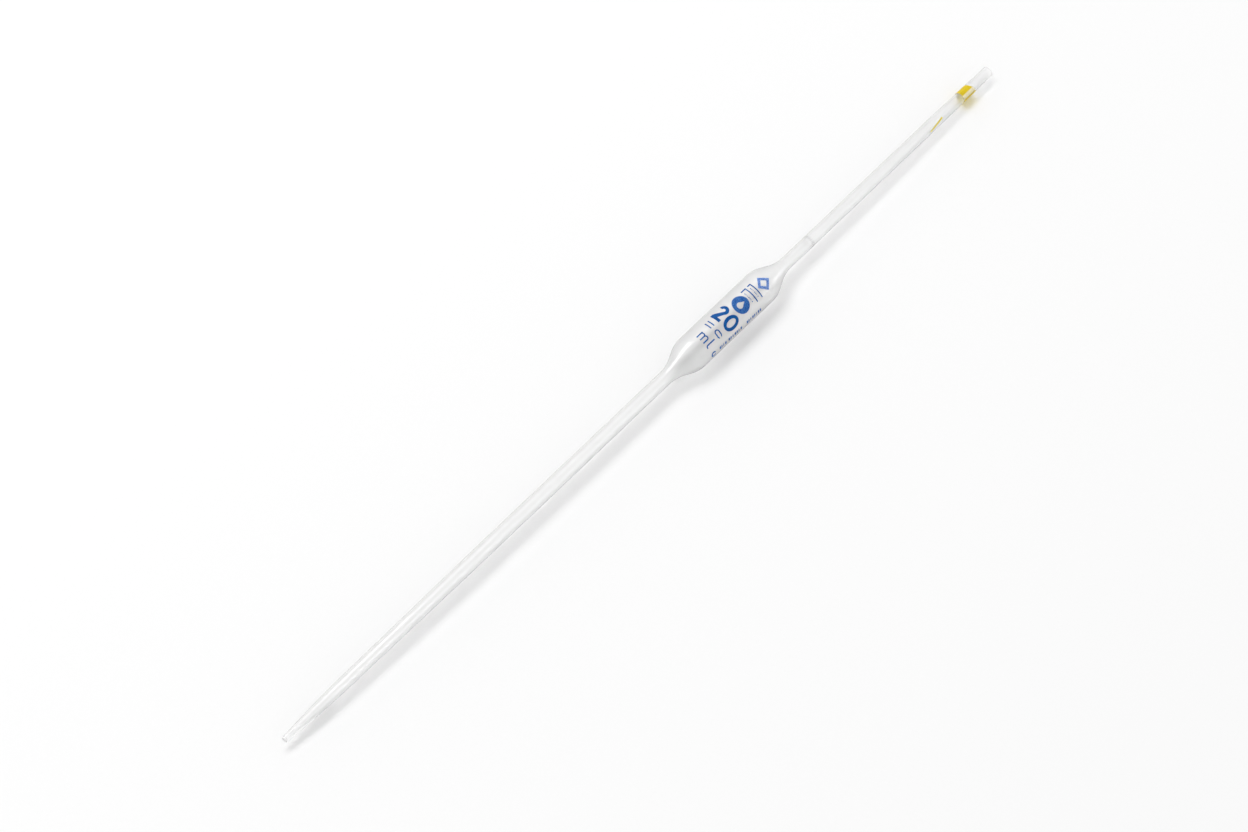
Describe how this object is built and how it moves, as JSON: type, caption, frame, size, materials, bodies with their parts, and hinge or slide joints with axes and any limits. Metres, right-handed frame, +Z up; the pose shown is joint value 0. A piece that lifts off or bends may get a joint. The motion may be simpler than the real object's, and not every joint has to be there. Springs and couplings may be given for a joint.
{
  "type": "volumetric pipette",
  "caption": "Clear glass bulb pipette with a drawn jet, a long delivery tube, a bulb printed in blue, a graduation ring, a yellow colour band and a fire-polished mouth.",
  "frame": {"origin": "centre of the pipette's footprint, on the plane the bulb rests on", "axes": "+X along the pipette's axis from the jet opening towards the mouth; +Z up out of the table it lies on; the printed column faces up and a little towards -Y"},
  "size_m": [0.515, 0.0179, 0.0179],
  "materials": {
    "clear_glass": "clear borosilicate glass, flame polished",
    "blue_enamel": "fired blue enamel, satin gloss",
    "pale_blue_enamel": "thin fired blue enamel, satin gloss",
    "yellow_enamel": "fired yellow enamel, glossy",
    "grey_enamel": "thin fired grey-white enamel"
  },
  "bodies": {
    "root": {"suction_tube": "clear_glass", "bulb": "clear_glass", "delivery_tube": "clear_glass", "jet": "clear_glass", "graduation_ring": "grey_enamel", "colour_band": "yellow_enamel", "colour_stroke": "yellow_enamel", "figure_two": "blue_enamel", "figure_zero": "blue_enamel", "unit_m": "blue_enamel", "unit_l": "blue_enamel", "mark_bars": "blue_enamel", "mark_loop": "blue_enamel", "round_emblem": "blue_enamel", "lower_line": "blue_enamel", "upper_line": "blue_enamel", "lower_small_print": "blue_enamel", "upper_small_print": "blue_enamel", "maker_lozenge": "pale_blue_enamel", "side_caption_head": "blue_enamel", "side_caption": "blue_enamel"}
  },
  "joints": []
}
